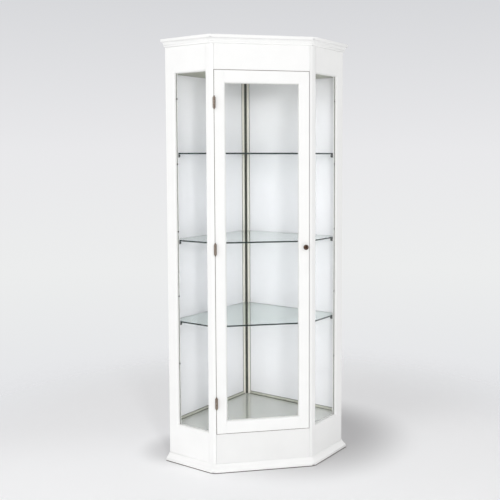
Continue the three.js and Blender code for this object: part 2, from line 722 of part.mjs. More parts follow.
// The knob: a turned rose, neck and flattened ball, pointing out of the door.
const knobProfile = [
  [0, 0],
  [KNOB_ROSE_R, 0],
  [KNOB_ROSE_R, KNOB_ROSE_T],
  [KNOB_NECK_R, KNOB_ROSE_T],
  [KNOB_NECK_R, KNOB_NECK_L],
];
const ballDepth = KNOB_R * KNOB_DEPTH_SHARE;
const startAngle = Math.asin(KNOB_NECK_R / KNOB_R);
for (let i = 1; i <= 2 * ARC_STEPS; i += 1) {
  const angle = startAngle + (Math.PI - startAngle) * (i / (2 * ARC_STEPS));
  const height = KNOB_NECK_L + ballDepth * (Math.cos(startAngle) - Math.cos(angle));
  knobProfile.push([i < 2 * ARC_STEPS ? KNOB_R * Math.sin(angle) : 0, height]);
}
const knob = closed(lathe(knobProfile, ROUND_STEPS).rotateX(Math.PI / 2));
add('door_knob', knob, knobBronze).position.set(DOOR_HALF_W - KNOB_INSET, 0, KNOB_Z);

export default cabinet;
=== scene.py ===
"""Corner display cabinet: its finishes and small fittings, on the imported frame."""

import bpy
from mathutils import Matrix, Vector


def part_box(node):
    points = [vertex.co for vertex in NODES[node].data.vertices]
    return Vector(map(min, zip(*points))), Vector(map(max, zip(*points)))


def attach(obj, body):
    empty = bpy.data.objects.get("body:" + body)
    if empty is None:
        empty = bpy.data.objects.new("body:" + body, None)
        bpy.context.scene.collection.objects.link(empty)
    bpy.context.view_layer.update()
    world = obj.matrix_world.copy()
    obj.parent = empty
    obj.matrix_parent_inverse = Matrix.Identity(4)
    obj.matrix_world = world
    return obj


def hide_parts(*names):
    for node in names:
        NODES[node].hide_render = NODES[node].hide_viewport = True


bl_info = {
    "name": "Corner display cabinet",
    "version": (1, 0, 0),
    "blender": (4, 5, 0),
    "location": "3D View > Sidebar > Cabinet",
    "description": "Lacquer, glass, hinges, knob and small fittings of a corner display cabinet",
    "category": "Add Mesh",
}

from math import pi, radians

import bmesh
import bpy
from bpy.props import FloatProperty, FloatVectorProperty, PointerProperty
from mathutils import Matrix, Vector

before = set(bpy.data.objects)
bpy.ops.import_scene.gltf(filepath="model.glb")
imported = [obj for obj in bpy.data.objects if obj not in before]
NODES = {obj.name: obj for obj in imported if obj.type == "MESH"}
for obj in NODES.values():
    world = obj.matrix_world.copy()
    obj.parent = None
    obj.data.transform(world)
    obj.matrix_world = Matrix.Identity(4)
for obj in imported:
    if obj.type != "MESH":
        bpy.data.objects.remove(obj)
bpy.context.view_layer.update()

MM = 0.001
SIDES = ("left", "right")
HINGES = ("bottom", "middle", "top")
RUNS = ("front", "left", "right")
SHELVES = ("shelf_1", "shelf_2", "shelf_3")
# The side frames stand at 45 degrees: these turns bring the front's directions onto each pane.
SIDE_TURN = radians(45)
PANE_TURNS = {"door_glass": 0.0, "side_glass_left": -SIDE_TURN, "side_glass_right": SIDE_TURN}
# The walls stand square to the side frames, so these turns bring the front's directions onto
# each back panel.
WALL_TURNS = {"left": SIDE_TURN, "right": -SIDE_TURN}
# Turns that bring the top of a turned shape to the front or to the back.
TO_FRONT = Matrix.Rotation(radians(90), 4, "X")
TO_BACK = Matrix.Rotation(radians(-90), 4, "X")
# Vertices nearer than MERGE are one, and so are faces that turn by less than FLAT.
MERGE = 0.001 * MM
FLAT = radians(0.5)
# Heights nearer than this are level.
LEVEL = 0.01 * MM
# Only edges that turn by more than these are rounded, on a copied node and on a seal.
NODE_EDGE = radians(35)
SEAL_EDGE = radians(60)
SHORTEST_SEAL_EDGE = 20 * MM
# Roundings of seals and plates, and of the thinnest parts.
SOFT_EASE = 0.3 * MM
THIN_EASE = 0.2 * MM
# The angle past which an edge stays crisp, on each kind of part.
BOARD_CREASE = radians(20)
GLASS_CREASE = radians(10)
PIN_CREASE = radians(30)
HEAD_CREASE = radians(40)
SCREW_CREASE = radians(35)
BLOCK_CREASE = radians(50)
# How far each pane reaches into its groove, past the edge of the opening.
PANE_HOLD = 7 * MM
# Clearance between a pane and the seals on it.
PANE_CLEAR = 0.05 * MM
# How far the filler beside the beads stands out of the wall, and how far it reaches into it.
JOINT_PROUD = 0.6 * MM
JOINT_DEEP = 0.2 * MM
# Height of the rubber strip's underside, and clearance of the seal in the gap round the door.
STRIP_FOOT = 0.1 * MM
GAP_CLEAR = 0.2 * MM
# How much of a glass's tint its shadow has.
SHADOW_SHARE = 0.25
# Heights of the glazing brads, as shares of the clear height inside, and how far their middle is
# from the gasket's, towards the pane.
BRAD_SHARES = (0.179, 0.373, 0.557, 0.747, 0.928)
BRAD_ONTO_PANE = 1.2 * MM
# Length of a pin's sleeve, and how far the pin stands out of it, in millimetres.
SLEEVE_LENGTH = 12.5
PIN_REVEAL = 1.5
# A leaf's screws: how many thirds of its height they are above its middle, and how far they are
# from its rear edge, in millimetres.
SCREWS = ((-1, 5), (0, 9.5), (1, 5))
# Radius of a hinge pin's finial and how far that is below its tip, in millimetres.
FINIAL = (
    (2, 7.05), (5, 7.05), (5, 6.3), (4.4, 5.9), (3.0, 5.6), (2.7, 5.1), (3.0, 4.5),
    (3.5, 3.7), (3.3, 2.8), (2.6, 1.8), (1.6, 0.9), (0.7, 0.3), (0, 0),
)
# Radius of rose, neck and knob and how far that is in front of the door, in millimetres.
KNOB = (
    (0, 0.0), (7, 0.0), (7, 0.8), (6.6, 1.3), (6.0, 1.4), (5.9, 1.9), (5.2, 2.3), (4.5, 2.9),
    (4.1, 4.0), (4.2, 5.4), (4.8, 6.6), (6.0, 7.5), (7.6, 8.3), (9.2, 9.6), (10.3, 11.3),
    (10.9, 13.2), (11.0, 15.0), (10.7, 16.8), (9.9, 18.6), (8.7, 20.0), (7.0, 21.2),
    (6.5, 21.3), (6.2, 21.7), (4.4, 22.3), (2.2, 22.65), (0, 22.75),
)
# The lamps: name, place, size, power, and whether the panes mirror it.
LAMPS = (
    ("key_softbox", (-3.2, -2.8, 2.4), 1.6, 21.5, True),
    ("front_softbox", (0.22, -4.0, 1.8), 0.45, 28.5, False),
    ("left_softbox", (-3.4, -1.2, 2.0), 1.2, 5, False),
)
LAMP_AIM = Vector((0, 0, 0.9))
LAMP_SPREAD = radians(160)
# The camera: its place, its tilt below level and its turn in degrees, and its lens in millimetres.
CAMERA_PLACE = (-0.4770, -3.4268, 1.3069)
CAMERA_TILT = 4.34
CAMERA_TURN = -11.346
CAMERA_SENSOR = 36
CAMERA_LENS = 55.82
CAMERA_SHIFT = (-0.1, -0.066)
# The floor sheet, and the distances from the cabinet between which it fades out.
FLOOR_RADIUS = 3.0
FLOOR_FADE = (0.8, 2.1)
# The soft shadows of the cabinet, painted on the floor: centre, inner and outer radius, and depth.
PAINTED_FLOOR_SHADOWS = (((0.2, 0.1, 0), 0.28, 0.62, 0.46), ((-0.3, 0.02, 0), 0.1, 0.25, 0.28))
PAINTED_SHADOW_COLOUR = (0.12, 0.11, 0.11, 1)
# Strength of the world's light, and what the backdrop adds to it where a pane lets it in.
WORLD_STRENGTH = 0.71
THROUGH_GLASS = 1.65
# The backdrop's tones from below to above, and the heights of the view between which they lie.
BACKDROP_SPAN = (-0.4, 0.22)
BACKDROP_TONES = (
    (0.0, "#e4e5e8"), (0.16, "#e4e5e8"), (0.42, "#eceded"), (0.66, "#e9e9eb"), (1.0, "#d5d6d9"),
)


def linear(hex_colour):
    """An sRGB hex colour as the linear red, green and blue that Blender works with."""
    shares = [int(hex_colour[i:i + 2], 16) / 255 for i in (1, 3, 5)]
    return [s / 12.92 if s <= 0.04045 else ((s + 0.055) / 1.055) ** 2.4 for s in shares]


def length(name, description, millimetres):
    """A length that a user may change, written in millimetres and kept in metres."""
    return FloatProperty(name=name, description=description, default=millimetres * MM,
                         min=0.0, precision=4, unit="LENGTH")


def colour(name, description, hex_colour):
    """A colour that a user may change, written as sRGB hex."""
    return FloatVectorProperty(name=name, description=description, default=linear(hex_colour),
                               subtype="COLOR", size=3, min=0.0, max=1.0)


class CabinetSizes(bpy.types.PropertyGroup):
    """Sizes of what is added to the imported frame."""
    edge_ease: length("Edge ease", "How far the sanded edges of the wooden frame are rounded", 0.7)
    joint_ease: length(
        "Joint ease", "How far the edges of plinth and frieze are rounded at the posts", 0.25)
    moulding_ease: length(
        "Moulding ease", "How far the edges of cornice and base are rounded", 0.6)
    bead_ease: length("Bead ease", "How far the edges of the beads are rounded", 0.5)
    bead_joint: length(
        "Bead joint", "Width of the olive joint beside the beads of the room corner", 2.0)
    strip_inset: length(
        "Strip inset", "How far the rubber strip lies behind the edge of the base moulding", 1.0)
    glass_arris: length("Glass arris", "Width of the ground arris on shelves and floor glass", 0.6)
    metal_ease: length("Metal ease", "How far the edges of the hinge leaves are rounded", 0.2)
    seal_width: length("Seal width", "How far the glazing seal shows inside an opening", 1.4)
    seal_depth: length("Seal depth", "How far the glazing seal stands in front of the pane", 1.0)
    gasket_width: length(
        "Gasket width", "Width of the dark gasket along the rear edge of a side pane", 3)
    gap_seal_set_back: length(
        "Gap seal set-back", "How far the seal round the door lies behind its face", 1)
    gap_seal_depth: length(
        "Gap seal depth", "Depth of the seal round the door, from front to back", 3.5)
    brad_radius: length("Brad radius", "Radius of the heads of the glazing brads", 4.0)
    sleeve_radius: length("Sleeve radius", "Radius of the soft sleeves on the shelf pins", 7)
    screw_radius: length("Screw radius", "Radius of the heads of the hinge screws", 2.6)
    catch_width: length("Catch width", "Width of the magnetic catch under the ceiling", 42)


class CabinetFinishes(bpy.types.PropertyGroup):
    """Colours of the finishes."""
    lacquer: colour("Lacquer", "White of the sprayed frame", "#f7f7f6")
    # Painted shade: the plinth is greyer than the frame because less light reaches it from below.
    plinth: colour("Plinth", "White of the plinth board, greyer from scuffs", "#efefee")
    board: colour("Back board", "White of the glossy back panels", "#f4f4f6")
    # Painted shade: the ceiling's underside is darkened to grey green for the dim light under it.
    ceiling: colour("Ceiling", "Grey green of the ceiling's underside", "#9c9d89")
    bead: colour("Bead", "Cream of the beads in the room corner", "#efece1")
    # Painted shade: the foot beads are the cream beads darkened to olive grey, for the shade at
    # the foot of the back.
    foot_bead_painted_shade: colour("Foot bead", "Olive grey of the beads along the foot of the back", "#c2c3b5")
    # Painted shade: the dark olive joints beside the beads stand in for their shadow lines.
    joint: colour("Bead joint", "Olive of the joints beside the cream beads", "#45432f")
    pane: colour("Pane", "Tint of the panes", "#fefefe")
    shelf: colour("Shelf glass", "Tint of the shelves seen through their faces", "#e3ece9")
    floor_tint: colour(
        "Floor glass", "Grey green of the glass plate that lies on the floor", "#b3b6ae")
    shelf_edge: colour("Shelf edge", "Dark green of the polished front edges", "#0c1c18")
    rear_edge: colour("Rear edge", "Grey green of the shelf edges at the wall", "#2c3a34")
    strip: colour(
        "Slotted strip", "Olive black of the slotted strip in the room corner", "#3b3d30")
    steel: colour("Dark steel", "Blackened steel of the pins and brads", "#1d1f1b")
    sleeve: colour("Pin sleeve", "Black of the soft sleeves on the shelf pins", "#262826")
    bronze: colour("Antique bronze", "Bronze of the hinges", "#a2968a")
    patina: colour("Patina", "Brown in the hollows of the bronze", "#5b4b41")
    knob: colour("Knob", "Dark bronze of the knob", "#3c2a22")
    rubbed: colour("Rubbed bronze", "Paler bronze where hands rub the knob", "#7a6353")
    seal: colour("Seal", "White of the glazing seal", "#e6e6e2")
    # Partly painted shade: the grey gasket also stands in for the shadow line at the rear edge of
    # each side pane.
    gasket: colour("Gasket", "Grey of the gasket at the rear edge of the side panes", "#77776f")
    # Painted shade: the dark brown seal stands in for the shadow in the gap round the door.
    gap_seal_painted_shade: colour("Gap seal", "Brown of the seal in the gap round the door", "#54392d")
    # Painted shade: the dark strip under the base moulding stands in for its contact shadow.
    rubber: colour("Rubber", "Dark brown of the strip under the base moulding", "#4a3d36")
    catch: colour("Catch", "White plastic of the magnetic catch", "#e9e7e2")
    floor: colour("Floor", "Pale floor under the cabinet", "#fcfcfd")


def add_node(tree, kind, inputs=None, **settings):
    """Adds a node, applies its settings, and fills its inputs with values or with links."""
    node = tree.nodes.new("ShaderNode" + kind)
    for name, value in settings.items():
        setattr(node, name, value)
    for name, value in (inputs or {}).items():
        if isinstance(value, bpy.types.NodeSocket):
            tree.links.new(value, node.inputs[name])
        else:
            node.inputs[name].default_value = value
    return node


def new_material(name, base, **shine):
    """A material with one Principled shader. Base colour and shine go onto its own sockets."""
    material = bpy.data.materials.new(name)
    material.use_nodes = True
    shader = material.node_tree.nodes["Principled BSDF"]
    shader.inputs["Base Color"].default_value = (*base, 1)
    for socket, value in shine.items():
        shader.inputs[socket.replace("_", " ")].default_value = value
    return material, material.node_tree, shader


def pattern(tree, millimetres, detail=2.0):
    """Noise on the object's own coordinates, with grains of a real size."""
    place = add_node(tree, "TexCoord")
    return add_node(tree, "TexNoise", {
        "Vector": place.outputs["Object"], "Scale": 1 / (millimetres * MM), "Detail": detail,
    })


def vary(tree, shader, grains, base, other, low, high):
    """Shifts the base colour from one tone to another where the noise runs from low to high."""
    share = add_node(tree, "MapRange", {
        "Value": grains.outputs["Fac"], "From Min": low, "From Max": high,
    })
    tones = add_node(tree, "Mix", {
        "Factor": share.outputs["Result"], "A": (*base, 1), "B": (*other, 1),
    }, data_type="RGBA")
    tree.links.new(tones.outputs["Result"], shader.inputs["Base Color"])


def roughen(tree, shader, grains, low, high):
    """Lets the roughness drift between two values with the noise."""
    spread = add_node(tree, "MapRange", {
        "Value": grains.outputs["Fac"], "To Min": low, "To Max": high,
    })
    tree.links.new(spread.outputs["Result"], shader.inputs["Roughness"])


def emboss(tree, shader, grains, depth_mm, strength, ease_mm=0.0):
    """Raises the surface with the noise, over edges that are rounded in the shading."""
    inputs = {"Height": grains.outputs["Fac"], "Distance": depth_mm * MM, "Strength": strength}
    if ease_mm:
        rounded = add_node(tree, "Bevel", {"Radius": ease_mm * MM}, samples=6)
        inputs["Normal"] = rounded.outputs["Normal"]
    bump = add_node(tree, "Bump", inputs)
    tree.links.new(bump.outputs["Normal"], shader.inputs["Normal"])


def dimmed(base, share):
    """The same colour, darker by a share."""
    return [c * (1 - share) for c in base]


def sprayed_lacquer(name, base, low, high):
    """Polyurethane lacquer sprayed on primed board and rubbed down to satin.

    It shows as a clean white with a very fine orange peel, and faint clouds where the coat is
    thicker.
    """
    material, tree, shader = new_material(name, base, IOR=1.5)
    vary(tree, shader, pattern(tree, 90), base, dimmed(base, 0.025), 0.35, 0.75)
    roughen(tree, shader, pattern(tree, 35), low, high)
    emboss(tree, shader, pattern(tree, 2.2), 0.02, 0.25, ease_mm=0.5)
    return material


def melamine_board(base):
    """Melamine-faced board: a harder, glossier white than the lacquer, with a faint haze."""
    material, tree, shader = new_material("melamine_back_board", base, IOR=1.5)
    vary(tree, shader, pattern(tree, 140), base, dimmed(base, 0.03), 0.3, 0.75)
    roughen(tree, shader, pattern(tree, 60), 0.2, 0.27)
    emboss(tree, shader, pattern(tree, 1.6), 0.01, 0.2)
    return material


def tin_bath_waves(tree, shader, low, high):
    """The slow waves of float glass, which bend its reflections a little."""
    waves = pattern(tree, 180, 1.0)
    roughen(tree, shader, waves, low, high)
    emboss(tree, shader, waves, 0.05, 0.15)


def float_glass(name, tint):
    """Float glass: clear, with the slow waves of the tin bath in its reflections.

    Rays to the lamps pass through a Transparent shader, because glass would stop them. It holds
    back less light than the glass seems to when it is looked through.
    """
    material, tree, shader = new_material(name, tint, IOR=1.32, Transmission_Weight=1.0)
    tin_bath_waves(tree, shader, 0.0, 0.012)
    clear = add_node(tree, "BsdfTransparent", {"Color": (*[c ** SHADOW_SHARE for c in tint], 1)})
    rays = add_node(tree, "LightPath")
    both = add_node(tree, "MixShader", {
        0: rays.outputs["Is Shadow Ray"], 1: shader.outputs["BSDF"], 2: clear.outputs["BSDF"],
    })
    tree.links.new(both.outputs["Shader"], tree.nodes["Material Output"].inputs["Surface"])
    return material


def glass_on_board(base):
    """Float glass that lies flat on a white board: a pale grey green under a mirror-like top."""
    material, tree, shader = new_material("float_glass_on_board", base, IOR=1.52,
                                          Coat_Weight=1.0, Coat_Roughness=0.01)
    vary(tree, shader, pattern(tree, 120), base, dimmed(base, 0.04), 0.3, 0.75)
    tin_bath_waves(tree, shader, 0.02, 0.05)
    return material


def polished_edge(name, base, roughness):
    """The polished edge of a glass shelf: dark green, because light runs along the glass."""
    material, tree, shader = new_material(name, base, Specular_IOR_Level=0.25)
    vary(tree, shader, pattern(tree, 25), base, [min(1, c * 1.5) for c in base], 0.4, 0.8)
    roughen(tree, shader, pattern(tree, 4), roughness, roughness + 0.1)
    return material


def aged_bronze(name, base, hollow, grain_mm, low, high):
    """Bronze-plated steel, browned in a bath and brushed back, so the hollows stay dark."""
    material, tree, shader = new_material(name, base, Metallic=0.85)
    vary(tree, shader, pattern(tree, grain_mm, 6.0), base, hollow, 0.42, 0.72)
    roughen(tree, shader, pattern(tree, grain_mm / 2, 4.0), low, high)
    emboss(tree, shader, pattern(tree, 0.8, 4.0), 0.03, 0.3, ease_mm=0.3)
    return material


def blackened_steel(name, base):
    """Cold-rolled steel, chemically blackened: a dull olive black with a fine grain."""
    material, tree, shader = new_material(name, base, Metallic=0.2)
    vary(tree, shader, pattern(tree, 3, 5.0), base, [c * 1.7 for c in base], 0.45, 0.8)
    roughen(tree, shader, pattern(tree, 2, 3.0), 0.4, 0.58)
    emboss(tree, shader, pattern(tree, 0.6, 3.0), 0.02, 0.25)
    return material


def soft_plastic(name, base):
    """Extruded soft PVC, rubber or acrylic filler: an even colour with a dull skin."""
    material, tree, shader = new_material(name, base)
    vary(tree, shader, pattern(tree, 12), base, dimmed(base, 0.2), 0.35, 0.75)
    roughen(tree, shader, pattern(tree, 1.5), 0.5, 0.65)
    return material


def moulded_abs(base):
    """Injection-moulded ABS of the catch: a fine spark-eroded texture."""
    material, tree, shader = new_material("moulded_abs_catch", base, IOR=1.54)
    vary(tree, shader, pattern(tree, 20), base, dimmed(base, 0.05), 0.3, 0.8)
    roughen(tree, shader, pattern(tree, 5), 0.38, 0.5)
    emboss(tree, shader, pattern(tree, 0.7), 0.02, 0.3, ease_mm=0.4)
    return material


def studio_floor(base):
    """Matt floor sheet with painted shade and shadows, which fades out into the backdrop."""
    material, tree, shader = new_material("studio_floor", base, Specular_IOR_Level=0.1)
    roughen(tree, shader, pattern(tree, 200), 0.75, 0.9)
    place = add_node(tree, "TexCoord")
    split = add_node(tree, "SeparateXYZ", {"Vector": place.outputs["Object"]})
    # Painted shade: the floor darkens towards the back, as the light falls off there.
    behind = add_node(tree, "MapRange", {
        "Value": split.outputs["Y"], "From Min": -0.15, "From Max": 0.5,
    }, interpolation_type="SMOOTHSTEP")
    tones = add_node(tree, "Mix", {
        "Factor": behind.outputs["Result"], "A": (*base, 1), "B": (*dimmed(base, 0.07), 1),
    }, data_type="RGBA")
    # Painted shadows: dark patches round the cabinet, where its shadows fall.
    for centre, inner, outer, depth in PAINTED_FLOOR_SHADOWS:
        away = add_node(tree, "VectorMath", {0: place.outputs["Object"], 1: centre},
                        operation="DISTANCE")
        share = add_node(tree, "MapRange", {
            "Value": away.outputs["Value"], "From Min": inner, "From Max": outer,
            "To Min": depth, "To Max": 0.0,
        }, interpolation_type="SMOOTHSTEP")
        tones = add_node(tree, "Mix", {
            "Factor": share.outputs["Result"], "A": tones.outputs["Result"], "B": PAINTED_SHADOW_COLOUR,
        }, data_type="RGBA")
    tree.links.new(tones.outputs["Result"], shader.inputs["Base Color"])
    reach = add_node(tree, "VectorMath", {0: place.outputs["Object"]}, operation="LENGTH")
    share = add_node(tree, "MapRange", {
        "Value": reach.outputs["Value"], "From Min": FLOOR_FADE[0], "From Max": FLOOR_FADE[1],
    }, interpolation_type="SMOOTHERSTEP")
    clear = add_node(tree, "BsdfTransparent")
    both = add_node(tree, "MixShader", {
        0: share.outputs["Result"], 1: shader.outputs["BSDF"], 2: clear.outputs["BSDF"],
    })
    tree.links.new(both.outputs["Shader"], tree.nodes["Material Output"].inputs["Surface"])
    return material


def finish(name):
    """A finish that the first operator has mixed."""
    return bpy.data.materials[name]


def make_piece(bm, name, body, materials, replaces=()):
    """Turns a bmesh into a piece that rides on a body and may stand for CAD nodes."""
    mesh = bpy.data.meshes.new(name)
    bm.to_mesh(mesh)
    bm.free()
    for material in materials:
        mesh.materials.append(finish(material))
    piece = bpy.data.objects.new(name, mesh)
    bpy.context.scene.collection.objects.link(piece)
    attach(piece, body)
    if replaces:
        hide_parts(*replaces)
    return piece


def merged_copy(node):
    """A bmesh of a CAD node with its loose triangles merged into whole faces."""
    bm = bmesh.new()
    bm.from_mesh(NODES[node].data)
    bmesh.ops.remove_doubles(bm, verts=bm.verts, dist=MERGE)
    bmesh.ops.dissolve_limit(bm, angle_limit=FLAT, verts=bm.verts, edges=bm.edges)
    return bm


def newer(bm, before):
    """The vertices that were not there before."""
    return [vertex for vertex in bm.verts if vertex not in before]


def once(items):
    """Each item once, in the order in which they first come."""
    return list(dict.fromkeys(items))


def faces_of(verts):
    """The faces that touch any of the vertices."""
    return once(face for vertex in verts for face in vertex.link_faces)


def extruded(bm, faces):
    """Extrudes faces, which stay as the old end, and returns the vertices of the new end."""
    swept = bmesh.ops.extrude_face_region(bm, geom=faces, use_keep_orig=True)
    return [item for item in swept["geom"] if isinstance(item, bmesh.types.BMVert)]


def turn_all(bm, turn):
    """Turns everything in a bmesh about the upright."""
    bmesh.ops.transform(bm, matrix=Matrix.Rotation(turn, 4, "Z"), verts=bm.verts)


def shade(bm, crease, rounded=()):
    """Smooth faces, with creases where the angle is over the given one and no bevel rounds it."""
    for face in bm.faces:
        face.smooth = True
    for edge in bm.edges:
        edge.smooth = edge in rounded or edge.calc_face_angle(0.0) < crease


def round_edges(bm, edges, width, segments, clamp=True):
    """Rounds edges, and stops where two roundings would meet if it is to clamp them."""
    return bmesh.ops.bevel(bm, geom=edges, offset=width, offset_type="OFFSET", segments=segments,
                           profile=0.5, affect="EDGES", clamp_overlap=clamp, material=-1)


def ease_edges(bm, width, shortest, segments=3):
    """Rounds the outward edges that are long enough, and returns the edges of the rounding."""
    edges = [edge for edge in bm.edges
             if edge.is_convex and edge.calc_length() > shortest
             and edge.calc_face_angle(0.0) > NODE_EDGE]
    made = round_edges(bm, edges, width, segments, clamp=False)
    return {edge for face in made["faces"] for edge in face.edges}


def eased_copy(node, body, material, ease, shortest=60 * MM, crease=BOARD_CREASE):
    """A piece in place of a CAD node, with sanded edges and smooth mouldings."""
    bm = merged_copy(node)
    rounded = ease_edges(bm, ease, shortest) if ease else ()
    shade(bm, crease, rounded)
    piece = make_piece(bm, f"{node}_finished", body, [material], [node])
    piece.modifiers.new("flat_faces", "WEIGHTED_NORMAL").keep_sharp = True


def paint(names, material):
    """Gives CAD nodes that stay as packed their finish."""
    for name in names:
        NODES[name].data.materials.clear()
        NODES[name].data.materials.append(finish(material))


def turned_box(node, turn):
    """Lowest and highest corner of a CAD node, measured in a frame turned about the upright."""
    back = Matrix.Rotation(-turn, 3, "Z")
    places = [back @ vertex.co for vertex in NODES[node].data.vertices]
    low = Vector(min(place[i] for place in places) for i in range(3))
    high = Vector(max(place[i] for place in places) for i in range(3))
    return low, high


def add_block(bm, low, high, ease):
    """A moulded block between two corners, eased all round."""
    verts = bmesh.ops.create_cube(bm, size=1.0)["verts"]
    bmesh.ops.scale(bm, vec=[b - a for a, b in zip(low, high)], verts=verts)
    bmesh.ops.translate(bm, vec=[(a + b) / 2 for a, b in zip(low, high)], verts=verts)
    round_edges(bm, once(edge for vertex in verts for edge in vertex.link_edges), ease, 3)


def add_turned_shape(bm, profile, place, steps):
    """Spins a profile of (radius, height) in millimetres about Z, and puts it in place."""
    before = set(bm.verts)
    verts = [bm.verts.new((radius * MM, 0, height * MM)) for radius, height in profile]
    edges = [bm.edges.new(pair) for pair in zip(verts, verts[1:])]
    bmesh.ops.spin(bm, geom=verts + edges, axis=(0, 0, 1), cent=(0, 0, 0), steps=steps,
                   angle=2 * pi, use_merge=True)
    bmesh.ops.remove_doubles(bm, verts=newer(bm, before), dist=MERGE)
    new = newer(bm, before)
    bmesh.ops.recalc_face_normals(bm, faces=faces_of(new))
    bmesh.ops.transform(bm, matrix=place, verts=new)


def add_ring(bm, low, high, hole_low, hole_high, front_y, back_y, ease):
    """A mitred rectangular frame in the XZ plane, between two Y places, with eased edges."""
    before = set(bm.verts)
    loops = []
    for near, far in ((low, high), (hole_low, hole_high)):
        corners = [(near[0], near[1]), (far[0], near[1]), (far[0], far[1]), (near[0], far[1])]
        verts = [bm.verts.new((x, back_y, z)) for x, z in corners]
        loops.extend(bm.edges.new((verts[i], verts[(i + 1) % 4])) for i in range(4))
    ring = bmesh.ops.bridge_loops(bm, edges=loops)
    moved = extruded(bm, ring["faces"])
    bmesh.ops.translate(bm, verts=moved, vec=(0, front_y - back_y, 0))
    faces = faces_of(newer(bm, before))
    bmesh.ops.recalc_face_normals(bm, faces=faces)
    edges = [edge for edge in once(edge for face in faces for edge in face.edges)
             if edge.calc_face_angle(0.0) > SEAL_EDGE and edge.calc_length() > SHORTEST_SEAL_EDGE]
    round_edges(bm, edges, ease, 2)


def add_slotted_screw(bm, radius, place):
    """A countersunk screw head, its top just proud of Z = 0 and level over its slot."""
    r = radius / MM
    profile = [(0, 0.25), (r * 0.55, 0.22), (r * 0.9, 0.1), (r, 0), (r * 0.6, -0.4), (0, -0.4)]
    before = set(bm.verts)
    add_turned_shape(bm, profile, Matrix.Identity(4), 24)
    half_slot = 0.22 * radius
    for x in (-half_slot, half_slot):
        new = newer(bm, before)
        faces = faces_of(new)
        geom = [*new, *faces, *once(edge for face in faces for edge in face.edges)]
        bmesh.ops.bisect_plane(bm, geom=geom, plane_co=(x, 0, 0), plane_no=(1, 0, 0))
    slot = []
    for face in faces_of(newer(bm, before)):
        middle = face.calc_center_median()
        if abs(middle.x) < half_slot and middle.z > LEVEL:
            slot.append(face)
    for vertex in extruded(bm, slot):
        vertex.co.z = -0.3 * MM
    bmesh.ops.transform(bm, matrix=place, verts=newer(bm, before))


class CABINET_OT_finishes(bpy.types.Operator):
    """Mix the lacquers, glasses and metals of the cabinet"""
    bl_idname = "cabinet.finishes"
    bl_label = "Mix the finishes"

    def execute(self, context):
        c = context.scene.cabinet_finishes
        sprayed_lacquer("sprayed_satin_lacquer", c.lacquer, 0.32, 0.42)
        sprayed_lacquer("plinth_lacquer_painted_shade", c.plinth, 0.38, 0.5)
        sprayed_lacquer("sprayed_cream_lacquer", c.bead, 0.35, 0.45)
        sprayed_lacquer("grey_lacquer_painted_shade", c.ceiling, 0.35, 0.45)
        sprayed_lacquer("olive_lacquer_painted_shade", c.foot_bead_painted_shade, 0.35, 0.45)
        # Painted shade: black for the shadowed slots of the slotted strip.
        sprayed_lacquer("black_lacquer_painted_shade", c.steel, 0.45, 0.6)
        melamine_board(c.board)
        float_glass("clear_float_glass", c.pane)
        float_glass("shelf_float_glass", c.shelf)
        glass_on_board(c.floor_tint)
        polished_edge("polished_shelf_edge", c.shelf_edge, 0.12)
        polished_edge("ground_rear_edge", c.rear_edge, 0.3)
        blackened_steel("blackened_steel", c.steel)
        blackened_steel("blackened_strip_steel", c.strip)
        aged_bronze("antique_bronze_plate", c.bronze, c.patina, 5, 0.32, 0.48)
        aged_bronze("rubbed_dark_bronze", c.knob, c.rubbed, 7, 0.25, 0.4)
        soft_plastic("pvc_glazing_seal", c.seal)
        soft_plastic("rear_gasket_painted_shade", c.gasket)
        soft_plastic("painted_shade_gap_seal", c.gap_seal_painted_shade)
        soft_plastic("joint_filler_painted_shade", c.joint)
        soft_plastic("dark_base_strip_painted_shade", c.rubber)
        soft_plastic("pvc_pin_sleeve", c.sleeve)
        moulded_abs(c.catch)
        studio_floor(c.floor)
        return {"FINISHED"}


class CABINET_OT_wooden_frame(bpy.types.Operator):
    """Make the posts, stiles, rails and boards of the carcass"""
    bl_idname = "cabinet.wooden_frame"
    bl_label = "Wooden frame"

    def execute(self, context):
        sizes = context.scene.cabinet_sizes
        for part in ("front_post", "rear_stile", "side_top_rail", "side_bottom_rail"):
            for side in SIDES:
                eased_copy(f"{part}_{side}", "carcass", "sprayed_satin_lacquer",
                           sizes.edge_ease)
        # The plinth's greyer lacquer is painted shade.
        for part, coat in (("front_plinth", "plinth_lacquer_painted_shade"),
                           ("front_frieze", "sprayed_satin_lacquer")):
            eased_copy(part, "carcass", coat, sizes.joint_ease)
        paint(["top_board", "floor_board"], "sprayed_satin_lacquer")
        # The ceiling's grey green is painted shade.
        paint(["ceiling_board"], "grey_lacquer_painted_shade")
        return {"FINISHED"}


class CABINET_OT_mouldings(bpy.types.Operator):
    """Make the cornice and the base moulding"""
    bl_idname = "cabinet.mouldings"
    bl_label = "Cornice and base"

    def execute(self, context):
        sizes = context.scene.cabinet_sizes
        for moulding in ("cornice", "base_moulding"):
            for run in RUNS:
                eased_copy(f"{moulding}_{run}", "carcass", "sprayed_satin_lacquer",
                           sizes.moulding_ease)
        for run in RUNS:
            self.lay_strip(run, sizes.strip_inset)
        return {"FINISHED"}

    def lay_strip(self, run, inset):
        """Dark rubber strip under one run of the base moulding: painted shade for the contact
        shadow under it.
        """
        bm = merged_copy(f"base_moulding_{run}")
        foot = min(vertex.co.z for vertex in bm.verts)
        others = [face for face in bm.faces if face.calc_center_median().z > foot + LEVEL]
        bmesh.ops.delete(bm, geom=others, context="FACES")
        border = bmesh.ops.inset_region(bm, faces=bm.faces[:], thickness=inset)
        bmesh.ops.delete(bm, geom=border["faces"], context="FACES")
        for vertex in extruded(bm, bm.faces[:]):
            vertex.co.z = STRIP_FOOT
        bmesh.ops.recalc_face_normals(bm, faces=bm.faces)
        shade(bm, BOARD_CREASE, ease_edges(bm, SOFT_EASE, 5 * MM))
        make_piece(bm, f"base_strip_{run}", "carcass", ["dark_base_strip_painted_shade"])


